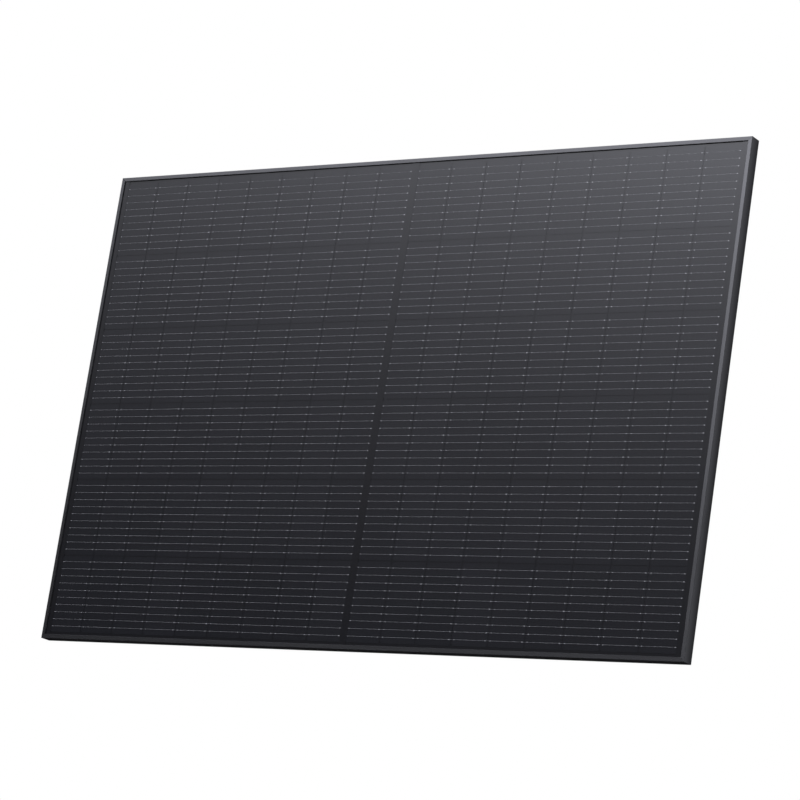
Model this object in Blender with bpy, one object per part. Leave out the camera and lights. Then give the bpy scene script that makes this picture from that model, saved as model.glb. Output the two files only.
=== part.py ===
"""Framed solar module with 108 half-cut cells, built from its separate pieces.

The module stands upright on a long edge. X runs along the long side, Z up the short side, and Y
through the thickness: the glass looks towards -Y. The origin is the centre of the rear mounting
plane, which holds the back faces of the frame's flanges. Depths are counted from the frame's front
face towards the rear, and rail profiles from the frame's outer face inwards.
"""

import math

import bmesh
import bpy
from mathutils import Vector

# Overall size of the framed module
MODULE_WIDTH = 1.722
MODULE_HEIGHT = 1.134
MODULE_DEPTH = 0.030

# Clearance between pieces that touch on the real object
GAP = 0.0003

# Frame extrusion
WALL = 0.0015
LIP_WIDTH = 0.0088
LIP_THICKNESS = 0.0012
EDGE_ROUND = 0.0006
SHELF_THICKNESS = 0.0013
SHELF_WIDTH = 0.0115
CHAMBER_WIDTH = 0.0100
CHAMBER_DEPTH = 0.0110
CHAMBER_WALL = 0.0013
FLANGE_THICKNESS = 0.0015
LONG_FLANGE_WIDTH = 0.030
SHORT_FLANGE_WIDTH = 0.020

# Holes in the rear flanges
SLOT_LENGTH = 0.014
SLOT_WIDTH = 0.009
SLOT_STEPS = 6
SLOT_PLACES = (-0.700, -0.495, 0.495, 0.700)
SLOT_INSET = 0.0175
EARTH_HOLE_RADIUS = 0.0021
EARTH_HOLE_SIDES = 12
EARTH_HOLE_PLACES = (-0.330, 0.330)
DRAIN_LENGTH = 0.012
DRAIN_WIDTH = 0.0045
DRAIN_STEPS = 4
DRAIN_INSET = 0.0065
DRAIN_END_DISTANCE = 0.060

# Laminate, from the glass to the backsheet
SEALANT_LEG = 0.0006
SEALANT_SIDE = 0.0007
BEAD_SHOWING = 0.0012
GLASS_THICKNESS = 0.0032
GLASS_CORNER = 0.0015
GLASS_ARRIS = 0.0004
ENCAPSULANT_THICKNESS = 0.0004
ENCAPSULANT_INSET = 0.0010
CELL_THICKNESS = 0.0002
RIBBON_THICKNESS = 0.0003
BACKSHEET_THICKNESS = 0.0003

# Cells
CELL_ROWS = 6
CELLS_PER_STRING = 9
CELL_SIDE = 0.182
CELL_GAP = 0.0018
ROW_GAP = 0.0020
CENTRE_GAP = 0.0135
WIRES_PER_CELL = 10
WIRE_PITCH = 0.01712
WEB_THICKNESS = 0.0001

# Bus ribbons
RIBBON_WIDTH = 0.006
RIBBON_OVERHANG = 0.003
LEAD_OFFSET = 0.008
LEAD_TOP = 0.0152

# Corner keys
KEY_ARM = 0.055
KEY_TEETH = 4
KEY_TOOTH_SLOPE = 0.75
KEY_TOOTH_DEPTH = 0.0008

# Junction boxes, along z and x, with depths from the front face
BOX_LENGTH = 0.062
BOX_WIDTH = 0.050
BOX_CORNER = 0.006
LEAST_CORNER = 0.001
BOX_WALL = 0.0020
BOX_FLOOR = 0.0018
BOX_HEIGHT = 0.0140
BOX_DRAFT = 0.0006
ADHESIVE_THICKNESS = 0.0008
ADHESIVE_WIDTH = 0.0045
ADHESIVE_INSET = 0.0005
LID_THICKNESS = 0.0018
LID_CHAMFER = 0.0009
LID_TONGUE = 0.0022
WINDOW_SIZE = (0.012, 0.024)
LEAD_HOLE_SIZE = (0.008, 0.003)
POTTING_TOP = 0.0140
TERMINAL_DEPTH = 0.0132
TERMINAL_THICKNESS = 0.0012
TERMINAL_WIDTH = 0.036
TERMINAL_CHAMFER = 0.002
TERMINAL_SPAN = (0.0056, 0.0240)
TERMINAL_SLOT = (0.0072, 0.0011)
DIODE_CENTRE = 0.012
DIODE_WIDTH = 0.009
DIODE_HALF_LENGTH = 0.0045
DIODE_DEPTHS = (0.0128, 0.0166)
DIODE_LEAD_REACH = 0.0100
DIODE_LEAD_DEPTHS = (0.0147, 0.0153)

# Cable outlet
OUTLET_DEPTH = 0.0172
STUB_RADIUS = 0.0046
STUB_LENGTH = 0.0060
STUB_ROOT = 0.0016
CABLE_BORE_RADIUS = 0.0032
GLAND_RADIUS = 0.0070
GLAND_NOSE_RADIUS = 0.0052
GLAND_LENGTH = 0.0170
GLAND_NOSE_LENGTH = 0.0040
GLAND_SIDES = 16
SHARP_ANGLE = math.radians(35)

# Depths that follow from the sizes above
GLASS_FRONT = LIP_THICKNESS + SEALANT_LEG + 2 * GAP
GLASS_BACK = GLASS_FRONT + GLASS_THICKNESS
FRONT_SHEET = GLASS_BACK + GAP
CELL_FRONT = FRONT_SHEET + ENCAPSULANT_THICKNESS + GAP
REAR_SHEET = CELL_FRONT + RIBBON_THICKNESS + GAP
BACKSHEET_FRONT = REAR_SHEET + ENCAPSULANT_THICKNESS + GAP
BACKSHEET_BACK = BACKSHEET_FRONT + BACKSHEET_THICKNESS
SHELF_FRONT = BACKSHEET_BACK + SEALANT_LEG + 2 * GAP
CHAMBER_FRONT = SHELF_FRONT + SHELF_THICKNESS
CHAMBER_BACK = CHAMBER_FRONT + CHAMBER_DEPTH
BOX_BASE = BACKSHEET_BACK + ADHESIVE_THICKNESS + 2 * GAP
BOX_RIM = BOX_BASE + BOX_HEIGHT

# Places that follow from the sizes above
GLASS_INSET = WALL + SEALANT_SIDE + 2 * GAP
ROW_PITCH = CELL_SIDE + ROW_GAP
HALF_CELL = CELL_SIDE / 2
CELL_PITCH = HALF_CELL + CELL_GAP
WIRE_SPAN = (WIRES_PER_CELL - 1) * WIRE_PITCH
STRING_LENGTH = CELLS_PER_STRING * CELL_PITCH - CELL_GAP
END_MARGIN = MODULE_WIDTH / 2 - CENTRE_GAP / 2 - STRING_LENGTH
END_RIBBON_PLACE = MODULE_WIDTH / 2 - END_MARGIN / 2 - RIBBON_WIDTH / 2
BOXES = (("top", 2 * ROW_PITCH, 1), ("middle", 0.0, 0), ("bottom", -2 * ROW_PITCH, -1))


# ---------------------------------------------------------------- scene and materials

def clear_scene():
    """Remove every object that the file opened with."""
    for old in list(bpy.data.objects):
        bpy.data.objects.remove(old, do_unlink=True)


def make_material(name, colour, roughness, metallic=0.0):
    """Plain Principled material."""
    made = bpy.data.materials.new(name)
    made.use_nodes = True
    shader = made.node_tree.nodes["Principled BSDF"]
    shader.inputs["Base Color"].default_value = (*colour, 1.0)
    shader.inputs["Roughness"].default_value = roughness
    shader.inputs["Metallic"].default_value = metallic
    made.diffuse_color = (*colour, 1.0)
    return made


def make_materials():
    """One material for each kind of surface."""
    return {
        "frame": make_material("black_anodised", (0.030, 0.031, 0.033), 0.42, 0.85),
        "key": make_material("key_aluminium", (0.62, 0.63, 0.64), 0.45, 1.0),
        "glass": make_material("solar_glass", (0.035, 0.037, 0.042), 0.12),
        "encapsulant": make_material("clear_sheet", (0.80, 0.80, 0.78), 0.35),
        "rear_encapsulant": make_material("black_sheet", (0.020, 0.020, 0.021), 0.45),
        "cell": make_material("silicon", (0.012, 0.014, 0.022), 0.30, 0.2),
        "ribbon": make_material("tinned_copper", (0.45, 0.44, 0.42), 0.35, 1.0),
        "backsheet": make_material("black_backsheet", (0.018, 0.018, 0.019), 0.60),
        "sealant": make_material("black_silicone", (0.010, 0.010, 0.011), 0.50),
        "box": make_material("black_box_plastic", (0.014, 0.014, 0.015), 0.48),
        "potting": make_material("potting_gel", (0.06, 0.06, 0.065), 0.30),
        "diode": make_material("diode_body", (0.020, 0.020, 0.022), 0.40),
    }


# ---------------------------------------------------------------- mesh building

def add_object(name, mesh_builder, material, parent):
    """Turn a bmesh into a named object under the module's empty."""
    mesh = bpy.data.meshes.new(name)
    bmesh.ops.recalc_face_normals(mesh_builder, faces=mesh_builder.faces)
    mesh_builder.to_mesh(mesh)
    mesh_builder.free()
    mesh.materials.append(material)
    made = bpy.data.objects.new(name, mesh)
    bpy.context.scene.collection.objects.link(made)
    made.parent = parent
    return made


def hide_cutter(cutter):
    """Mark an object as a cutter that is not part of the module."""
    cutter.hide_render = True
    cutter.display_type = "WIRE"


def apply_boolean(target, tool, operation):
    """Add an exact Boolean modifier and hide its tool."""
    modifier = target.modifiers.new(operation.lower(), "BOOLEAN")
    modifier.operation = operation
    modifier.object = tool
    hide_cutter(tool)


def depth_to_y(depth):
    """World Y of a depth counted from the frame's front face."""
    return depth - MODULE_DEPTH


def loft(rings, cyclic=False):
    """Skin rings of equal point count; the ends are capped unless the rings form a loop."""
    made = bmesh.new()
    rows = [[made.verts.new(point) for point in ring] for ring in rings]
    count = len(rows[0])
    pairs = list(zip(rows, rows[1:]))
    if cyclic:
        pairs.append((rows[-1], rows[0]))
    for low, high in pairs:
        for i in range(count):
            j = (i + 1) % count
            made.faces.new((low[i], low[j], high[j], high[i]))
    if not cyclic:
        made.faces.new(rows[0])
        made.faces.new(rows[-1])
    return made


def prism(loops, depth_from, depth_to, made=None):
    """Extrude an outer (x, z) loop and its hole loops between two depths."""
    made = made or bmesh.new()
    edges = []
    for loop in loops:
        ring = [made.verts.new((x, depth_to_y(depth_from), z)) for x, z in loop]
        edges += [made.edges.new(pair) for pair in zip(ring, ring[1:] + ring[:1])]
    filled = bmesh.ops.triangle_fill(made, edges=edges, use_beauty=True)
    caps = [item for item in filled["geom"] if isinstance(item, bmesh.types.BMFace)]
    grown = bmesh.ops.extrude_face_region(made, geom=caps)
    moved = [item for item in grown["geom"] if isinstance(item, bmesh.types.BMVert)]
    bmesh.ops.translate(made, verts=moved, vec=(0.0, depth_to - depth_from, 0.0))
    return made


def rectangle(width, height, centre=(0.0, 0.0)):
    """Corner points of a rectangle in x and z."""
    x, z = centre
    return [
        (x - width / 2, z - height / 2),
        (x + width / 2, z - height / 2),
        (x + width / 2, z + height / 2),
        (x - width / 2, z + height / 2),
    ]


def rounded_rectangle(width, height, radius, centre=(0.0, 0.0), steps=3):
    """Rectangle with round corners; one step gives plain chamfers."""
    x, z = centre
    points = []
    corners = ((1, -1, -90), (1, 1, 0), (-1, 1, 90), (-1, -1, 180))
    for side_x, side_z, start in corners:
        corner_x = x + side_x * (width / 2 - radius)
        corner_z = z + side_z * (height / 2 - radius)
        for step in range(steps + 1):
            angle = math.radians(start + 90 * step / steps)
            points.append((corner_x + radius * math.cos(angle), corner_z + radius * math.sin(angle)))
    return points


def circle(radius, centre, count):
    """Points of a circle in x and z."""
    return [
        (
            centre[0] + radius * math.cos(math.tau * i / count),
            centre[1] + radius * math.sin(math.tau * i / count),
        )
        for i in range(count)
    ]


def outline_rings(outline, levels):
    """Rings for loft, from an outline function of inset and a list of (depth, inset) levels."""
    return [[Vector((x, depth_to_y(depth), z)) for x, z in outline(inset)] for depth, inset in levels]


# ---------------------------------------------------------------- frame

def rail_outline(flange_width):
    """Rail section as (inward, depth) points, going round the outside once."""
    r = EDGE_ROUND
    half = r * (1 - math.sqrt(0.5))
    chamber_floor = CHAMBER_BACK + CHAMBER_WALL
    flange_front = MODULE_DEPTH - FLANGE_THICKNESS
    return [
        (0.0, r),
        (half, half),
        (r, 0.0),
        (LIP_WIDTH, 0.0),
        (LIP_WIDTH, LIP_THICKNESS),
        (WALL, LIP_THICKNESS),
        (WALL, SHELF_FRONT),
        (SHELF_WIDTH, SHELF_FRONT),
        (SHELF_WIDTH, CHAMBER_FRONT),
        (CHAMBER_WIDTH, CHAMBER_FRONT),
        (CHAMBER_WIDTH, chamber_floor),
        (WALL, chamber_floor),
        (WALL, flange_front),
        (flange_width, flange_front),
        (flange_width, MODULE_DEPTH),
        (half, MODULE_DEPTH),
        (0.0, MODULE_DEPTH - half),
    ]


def chamber_outline():
    """The hollow chamber that takes the corner keys."""
    inner = CHAMBER_WIDTH - CHAMBER_WALL
    return [(WALL, CHAMBER_FRONT), (inner, CHAMBER_FRONT), (inner, CHAMBER_BACK), (WALL, CHAMBER_BACK)]


def rail_mesh(length, flange_width):
    """Mitred rail along X, its outer face on z = 0 and its inner side towards +Z."""
    made = bmesh.new()
    mitre_clearance = GAP / math.sqrt(2)
    cap_edges = {-1: [], 1: []}
    for section in (rail_outline(flange_width), chamber_outline()):
        rings = {}
        for end in (-1, 1):
            rings[end] = [
                made.verts.new((end * (length / 2 - inward - mitre_clearance), depth_to_y(depth), inward))
                for inward, depth in section
            ]
            ring = rings[end]
            cap_edges[end] += [made.edges.new(pair) for pair in zip(ring, ring[1:] + ring[:1])]
        for i in range(len(section)):
            j = (i + 1) % len(section)
            made.faces.new((rings[-1][i], rings[-1][j], rings[1][j], rings[1][i]))
    for end in (-1, 1):
        bmesh.ops.triangle_fill(made, edges=cap_edges[end], use_beauty=True)
    return made


def slot_outline(centre_x, centre_z, length, width, steps):
    """Round-ended slot along X, each end a half circle of the given number of steps."""
    radius = width / 2
    points = []
    for side in (1, -1):
        for step in range(steps + 1):
            angle = math.pi * (step / steps - side / 2)
            end_x = centre_x + side * (length / 2 - radius)
            points.append((end_x + radius * math.cos(angle), centre_z + radius * math.sin(angle)))
    return points


def flange_cutter(name, length, with_slots, parent):
    """All the holes of one rail's flange, in the rail's own frame."""
    made = bmesh.new()
    front = MODULE_DEPTH - FLANGE_THICKNESS - GAP
    back = MODULE_DEPTH + GAP
    if with_slots:
        for place in SLOT_PLACES:
            prism([slot_outline(place, SLOT_INSET, SLOT_LENGTH, SLOT_WIDTH, SLOT_STEPS)], front, back, made)
        for place in EARTH_HOLE_PLACES:
            prism([circle(EARTH_HOLE_RADIUS, (place, SLOT_INSET), EARTH_HOLE_SIDES)], front, back, made)
    for end in (-1, 1):
        place = end * (length / 2 - DRAIN_END_DISTANCE)
        drain = slot_outline(place, DRAIN_INSET, DRAIN_LENGTH, DRAIN_WIDTH, DRAIN_STEPS)
        prism([drain], front, back, made)
    return add_object(name, made, None, parent)


def build_frame(materials, parent):
    """Four mitred rails, each turned so that its profile faces the middle."""
    sides = (
        ("bottom", MODULE_WIDTH, LONG_FLANGE_WIDTH, (0.0, 0.0, -MODULE_HEIGHT / 2), 0.0),
        ("top", MODULE_WIDTH, LONG_FLANGE_WIDTH, (0.0, 0.0, MODULE_HEIGHT / 2), math.pi),
        ("left", MODULE_HEIGHT, SHORT_FLANGE_WIDTH, (-MODULE_WIDTH / 2, 0.0, 0.0), math.pi / 2),
        ("right", MODULE_HEIGHT, SHORT_FLANGE_WIDTH, (MODULE_WIDTH / 2, 0.0, 0.0), -math.pi / 2),
    )
    for side, length, flange_width, place, turn in sides:
        name = "frame_rail_" + side
        rail = add_object(name, rail_mesh(length, flange_width), materials["frame"], parent)
        cutter = flange_cutter("cutter_" + side, length, side in ("top", "bottom"), parent)
        for piece in (rail, cutter):
            piece.location = place
            piece.rotation_euler = (0.0, turn, 0.0)
        apply_boolean(rail, cutter, "DIFFERENCE")


def key_outline():
    """L-shaped corner key, its corner at the origin and its arms along +X and +Z."""
    near = WALL + GAP
    far = CHAMBER_WIDTH - CHAMBER_WALL - GAP
    pitch = (KEY_ARM - 2 * far) / KEY_TEETH
    arm = []
    for tooth in range(KEY_TEETH):
        start = 2 * far + tooth * pitch
        arm += [(start, far), (start + pitch * KEY_TOOTH_SLOPE, far - KEY_TOOTH_DEPTH)]
    arm.append((KEY_ARM, far - KEY_TOOTH_DEPTH))
    arm.append((KEY_ARM, near))
    mirrored = [(z, x) for x, z in reversed(arm)]
    return mirrored + [(far, far)] + arm + [(near, near)]


def build_corner_keys(materials, parent):
    """One key in each corner's chambers."""
    for side_z, row in ((1, "top"), (-1, "bottom")):
        for side_x, column in ((-1, "left"), (1, "right")):
            outline = [
                (side_x * (MODULE_WIDTH / 2 - x), side_z * (MODULE_HEIGHT / 2 - z)) for x, z in key_outline()
            ]
            made = prism([outline], CHAMBER_FRONT + GAP, CHAMBER_BACK - GAP)
            add_object(f"corner_key_{row}_{column}", made, materials["key"], parent)


# ---------------------------------------------------------------- laminate

def chamfered_sheet(inset, corner):
    """Outline of a sheet that stops short of the frame's outer faces."""
    return rounded_rectangle(MODULE_WIDTH - 2 * inset, MODULE_HEIGHT - 2 * inset, corner, steps=1)


def build_glass(materials, parent):
    """Front glass with dubbed corners and a ground arris along both edges."""
    levels = (
        (GLASS_FRONT, GLASS_ARRIS),
        (GLASS_FRONT + GLASS_ARRIS, 0.0),
        (GLASS_BACK - GLASS_ARRIS, 0.0),
        (GLASS_BACK, GLASS_ARRIS),
    )
    rings = outline_rings(lambda inset: chamfered_sheet(GLASS_INSET + inset, GLASS_CORNER), levels)
    add_object("front_glass", loft(rings), materials["glass"], parent)


def lead_holes():
    """Holes that let the ribbon leads through the rear sheets, two behind each box."""
    width, height = LEAD_HOLE_SIZE
    return [
        rectangle(width, height, (0.0, place + side * LEAD_OFFSET))
        for _, place, _ in BOXES
        for side in (-1, 1)
    ]


def build_sheets(materials, parent):
    """The two encapsulant sheets and the backsheet."""
    soft = rectangle(
        MODULE_WIDTH - 2 * (GLASS_INSET + ENCAPSULANT_INSET),
        MODULE_HEIGHT - 2 * (GLASS_INSET + ENCAPSULANT_INSET),
    )
    front = prism([soft], FRONT_SHEET, FRONT_SHEET + ENCAPSULANT_THICKNESS)
    add_object("front_encapsulant", front, materials["encapsulant"], parent)
    rear = prism([soft] + lead_holes(), REAR_SHEET, REAR_SHEET + ENCAPSULANT_THICKNESS)
    add_object("rear_encapsulant", rear, materials["rear_encapsulant"], parent)
    skin = chamfered_sheet(GLASS_INSET, GLASS_CORNER)
    back = prism([skin] + lead_holes(), BACKSHEET_FRONT, BACKSHEET_BACK)
    add_object("backsheet", back, materials["backsheet"], parent)


def build_sealant(materials, parent):
    """U-shaped bead that wraps the laminate's edge and shows a little way in from the lip."""
    outer = WALL + GAP
    inner = GLASS_INSET - GAP
    showing = LIP_WIDTH + BEAD_SHOWING
    reach = LIP_WIDTH - 2 * GAP
    front = LIP_THICKNESS + GAP
    back = SHELF_FRONT - GAP
    section = (
        (outer, front),
        (showing, front),
        (showing, front + SEALANT_LEG),
        (inner, front + SEALANT_LEG),
        (inner, back - SEALANT_LEG),
        (reach, back - SEALANT_LEG),
        (reach, back),
        (outer, back),
    )
    rings = []
    for side_x, side_z in ((-1, -1), (1, -1), (1, 1), (-1, 1)):
        rings.append(
            [
                (
                    side_x * (MODULE_WIDTH / 2 - inward),
                    depth_to_y(depth),
                    side_z * (MODULE_HEIGHT / 2 - inward),
                )
                for inward, depth in section
            ]
        )
    add_object("edge_sealant", loft(rings, cyclic=True), materials["sealant"], parent)


# ---------------------------------------------------------------- cells and ribbons

def row_centre(row):
    """Height of a cell row's centre line, row 1 at the top."""
    return ((CELL_ROWS + 1) / 2 - row) * ROW_PITCH


def string_station(x, half_height, depths, centre):
    """Rectangular section of a string, across the module's height."""
    low, high = (depth_to_y(depth) for depth in depths)
    return [
        (x, low, centre - half_height),
        (x, low, centre + half_height),
        (x, high, centre + half_height),
        (x, high, centre - half_height),
    ]


def string_mesh(side, centre):
    """Nine half cells joined by thin webs that stand for their wires, with a tab at each end."""
    cell = (CELL_FRONT, CELL_FRONT + CELL_THICKNESS)
    middle = CELL_FRONT + CELL_THICKNESS / 2
    web = (middle - WEB_THICKNESS / 2, middle + WEB_THICKNESS / 2)
    web_half = WIRE_SPAN / 2 + GAP
    stations = [(RIBBON_WIDTH / 2 + GAP, web_half, web)]
    for index in range(CELLS_PER_STRING):
        start = CENTRE_GAP / 2 + index * CELL_PITCH
        end = start + HALF_CELL
        stations += [(start, web_half, web), (start, CELL_SIDE / 2, cell)]
        stations += [(end, CELL_SIDE / 2, cell), (end, web_half, web)]
    stations.append((END_RIBBON_PLACE - GAP, web_half, web))
    rings = [string_station(side * x, half, depths, centre) for x, half, depths in stations]
    return loft(rings)


def build_strings(materials, parent):
    """Six rows of strings on each side of the centre band."""
    for row in range(1, CELL_ROWS + 1):
        for side, word in ((-1, "left"), (1, "right")):
            made = string_mesh(side, row_centre(row))
            add_object(f"cell_string_{row}_{word}", made, materials["cell"], parent)


def build_end_ribbons(materials, parent):
    """Ribbons that join the strings in pairs at the module's two ends."""
    half_span = WIRE_SPAN / 2 + RIBBON_OVERHANG
    for pair in range(CELL_ROWS // 2):
        upper = row_centre(2 * pair + 1) + half_span
        lower = row_centre(2 * pair + 2) - half_span
        for side, word in ((-1, "left"), (1, "right")):
            middle = (side * (END_RIBBON_PLACE + RIBBON_WIDTH / 2), (upper + lower) / 2)
            made = prism(
                [rectangle(RIBBON_WIDTH, upper - lower, middle)],
                CELL_FRONT,
                CELL_FRONT + RIBBON_THICKNESS,
            )
            add_object(f"end_ribbon_{word}_{pair + 1}", made, materials["ribbon"], parent)


def centre_ribbon_section(upper, lower, lead_up, lead_down):
    """Side view of a centre ribbon as (z, depth) points, with its leads bent rearwards."""
    front = CELL_FRONT
    back = CELL_FRONT + RIBBON_THICKNESS
    points = [(upper, front), (lower, front)]
    if lead_down:
        points += [(lower, LEAD_TOP), (lower + RIBBON_THICKNESS, LEAD_TOP), (lower + RIBBON_THICKNESS, back)]
    else:
        points.append((lower, back))
    if lead_up:
        points += [(upper - RIBBON_THICKNESS, back), (upper - RIBBON_THICKNESS, LEAD_TOP), (upper, LEAD_TOP)]
    else:
        points.append((upper, back))
    return points


def build_centre_ribbons(materials, parent):
    """Four ribbons down the centre band, with leads into the boxes between them."""
    half_span = WIRE_SPAN / 2 + RIBBON_OVERHANG
    half_thickness = RIBBON_THICKNESS / 2
    top_end = row_centre(1) + half_span
    bottom_end = row_centre(CELL_ROWS) - half_span
    places = [place for _, place, _ in BOXES]
    uppers = [top_end] + [place - LEAD_OFFSET + half_thickness for place in places]
    lowers = [place + LEAD_OFFSET - half_thickness for place in places] + [bottom_end]
    last = len(uppers) - 1
    for index, (upper, lower) in enumerate(zip(uppers, lowers)):
        section = centre_ribbon_section(upper, lower, index > 0, index < last)
        rings = [
            [(x, depth_to_y(depth), z) for z, depth in section] for x in (-RIBBON_WIDTH / 2, RIBBON_WIDTH / 2)
        ]
        add_object(f"centre_ribbon_{index + 1}", loft(rings), materials["ribbon"], parent)


# ---------------------------------------------------------------- junction boxes

def box_outline(inset, place):
    """Round-cornered outline of a box, drawn in from its outer walls."""
    width = BOX_WIDTH - 2 * inset
    length = BOX_LENGTH - 2 * inset
    return rounded_rectangle(width, length, max(BOX_CORNER - inset, LEAST_CORNER), (0.0, place))


def outlet_ring(radius, z):
    """Circle round the cable outlet's axis at a height z."""
    return [(x, depth_to_y(OUTLET_DEPTH) + y, z) for x, y in circle(radius, (0.0, 0.0), GLAND_SIDES)]


def build_housing(word, place, outlet, materials, parent):
    """Open-topped housing with a ribbon window and, on the outer boxes, a cable stub."""
    levels = ((BOX_BASE, 0.0), (BOX_RIM, BOX_DRAFT))
    body = loft(outline_rings(lambda inset: box_outline(inset, place), levels))
    housing = add_object("junction_box_" + word, body, materials["box"], parent)
    if outlet:
        wall = place + outlet * (BOX_LENGTH / 2 - STUB_ROOT)
        tip = place + outlet * (BOX_LENGTH / 2 + STUB_LENGTH)
        rings = [outlet_ring(STUB_RADIUS, wall), outlet_ring(STUB_RADIUS, tip)]
        stub = add_object("cutter_stub_" + word, loft(rings), None, parent)
        apply_boolean(housing, stub, "UNION")
    cavity = prism([box_outline(BOX_WALL, place)], BOX_BASE + BOX_FLOOR, BOX_RIM + GAP)
    apply_boolean(housing, add_object("cutter_cavity_" + word, cavity, None, parent), "DIFFERENCE")
    window = prism([rectangle(*WINDOW_SIZE, (0.0, place))], BOX_BASE - GAP, BOX_BASE + BOX_FLOOR + GAP)
    apply_boolean(housing, add_object("cutter_window_" + word, window, None, parent), "DIFFERENCE")
    if outlet:
        inside = place + outlet * (BOX_LENGTH / 2 - 2 * BOX_WALL)
        outside = place + outlet * (BOX_LENGTH / 2 + STUB_LENGTH + GAP)
        rings = [outlet_ring(CABLE_BORE_RADIUS, inside), outlet_ring(CABLE_BORE_RADIUS, outside)]
        bore = add_object("cutter_bore_" + word, loft(rings), None, parent)
        apply_boolean(housing, bore, "DIFFERENCE")


def build_lid(word, place, materials, parent):
    """Lid with a chamfered top and a tongue that drops inside the walls."""
    levels = (
        (BOX_RIM + GAP - LID_TONGUE, BOX_WALL + 2 * GAP),
        (BOX_RIM + GAP, BOX_WALL + 2 * GAP),
        (BOX_RIM + GAP, 0.0),
        (BOX_RIM + GAP + LID_THICKNESS - LID_CHAMFER, 0.0),
        (BOX_RIM + GAP + LID_THICKNESS, LID_CHAMFER),
    )
    rings = outline_rings(lambda inset: box_outline(inset, place), levels)
    add_object("junction_box_lid_" + word, loft(rings), materials["box"], parent)


def build_adhesive(word, place, materials, parent):
    """Ring of silicone between the backsheet and the box."""
    ring = prism(
        [box_outline(ADHESIVE_INSET, place), box_outline(ADHESIVE_INSET + ADHESIVE_WIDTH, place)],
        BACKSHEET_BACK + GAP,
        BACKSHEET_BACK + GAP + ADHESIVE_THICKNESS,
    )
    add_object("junction_box_adhesive_" + word, ring, materials["sealant"], parent)


def terminal_loops(place, side, grow):
    """Outline of a terminal plate, and of the slot that takes the ribbon's lead."""
    near, far = TERMINAL_SPAN
    centre = (0.0, place + side * (near + far) / 2)
    width = TERMINAL_WIDTH + 2 * grow
    plate = rounded_rectangle(width, far - near + 2 * grow, TERMINAL_CHAMFER + grow, centre, steps=1)
    slot = rectangle(*TERMINAL_SLOT, (0.0, place + side * LEAD_OFFSET))
    return plate, slot


def diode_section(place):
    """Side view of a bypass diode with its two leads, as (z, depth) points."""
    body = DIODE_HALF_LENGTH
    low, high = DIODE_DEPTHS
    lead_low, lead_high = DIODE_LEAD_DEPTHS
    right = [
        (body, low),
        (body, lead_low),
        (DIODE_LEAD_REACH, lead_low),
        (DIODE_LEAD_REACH, lead_high),
        (body, lead_high),
        (body, high),
    ]
    left = [(-z, depth) for z, depth in reversed(right)]
    return [(place + z, depth) for z, depth in right + left]


def build_electrics(word, place, materials, parent):
    """Terminal plates, bypass diode, and the potting that is cast around them."""
    for side, end in ((1, "upper"), (-1, "lower")):
        plate, slot = terminal_loops(place, side, 0.0)
        made = prism([plate, slot], TERMINAL_DEPTH, TERMINAL_DEPTH + TERMINAL_THICKNESS)
        add_object(f"terminal_{word}_{end}", made, materials["ribbon"], parent)
    ends = (DIODE_CENTRE - DIODE_WIDTH / 2, DIODE_CENTRE + DIODE_WIDTH / 2)
    rings = [[(x, depth_to_y(depth), z) for z, depth in diode_section(place)] for x in ends]
    add_object("bypass_diode_" + word, loft(rings), materials["diode"], parent)

    floor = BOX_BASE + BOX_FLOOR + GAP
    potting = add_object(
        "potting_" + word,
        prism([box_outline(BOX_WALL + GAP, place)], floor, POTTING_TOP),
        materials["potting"],
        parent,
    )
    pockets = bmesh.new()
    above = POTTING_TOP + GAP
    for side in (1, -1):
        plate, _ = terminal_loops(place, side, GAP)
        prism([plate], TERMINAL_DEPTH - GAP, above, pockets)
        lead = rectangle(RIBBON_WIDTH + 2 * GAP, RIBBON_THICKNESS + 2 * GAP, (0.0, place + side * LEAD_OFFSET))
        prism([lead], floor - GAP, TERMINAL_DEPTH - GAP / 2, pockets)
    cutter = add_object("cutter_potting_" + word, pockets, None, parent)
    apply_boolean(potting, cutter, "DIFFERENCE")
    well = prism(
        [rectangle(DIODE_WIDTH + 2 * GAP, 2 * (DIODE_HALF_LENGTH + GAP), (DIODE_CENTRE, place))],
        DIODE_DEPTHS[0] - GAP,
        above,
    )
    apply_boolean(potting, add_object("cutter_well_" + word, well, None, parent), "DIFFERENCE")


def build_gland(word, place, outlet, materials, parent):
    """Nut that screws over the stub, with a nose that the cable would come out of."""
    base = BOX_LENGTH / 2 + GAP
    tip = base + GLAND_LENGTH
    stub_end = BOX_LENGTH / 2 + STUB_LENGTH + GAP
    section = (
        (GLAND_RADIUS, base),
        (GLAND_RADIUS, tip - GLAND_NOSE_LENGTH),
        (GLAND_NOSE_RADIUS, tip),
        (CABLE_BORE_RADIUS, tip),
        (CABLE_BORE_RADIUS, stub_end),
        (STUB_RADIUS + GAP, stub_end),
        (STUB_RADIUS + GAP, base),
    )
    rings = [outlet_ring(radius, place + outlet * reach) for radius, reach in section]
    gland = add_object("cable_gland_" + word, loft(rings, cyclic=True), materials["box"], parent)
    gland.data.shade_smooth()
    gland.data.set_sharp_from_angle(angle=SHARP_ANGLE)


def build_boxes(materials, parent):
    """The three junction boxes with everything in them."""
    for word, place, outlet in BOXES:
        build_housing(word, place, outlet, materials, parent)
        build_lid(word, place, materials, parent)
        build_adhesive(word, place, materials, parent)
        build_electrics(word, place, materials, parent)
        if outlet:
            build_gland(word, place, outlet, materials, parent)


def main():
    clear_scene()
    materials = make_materials()
    module = bpy.data.objects.new("solar_module", None)
    bpy.context.scene.collection.objects.link(module)
    build_frame(materials, module)
    build_corner_keys(materials, module)
    build_glass(materials, module)
    build_sheets(materials, module)
    build_sealant(materials, module)
    build_strings(materials, module)
    build_end_ribbons(materials, module)
    build_centre_ribbons(materials, module)
    build_boxes(materials, module)


main()
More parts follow.
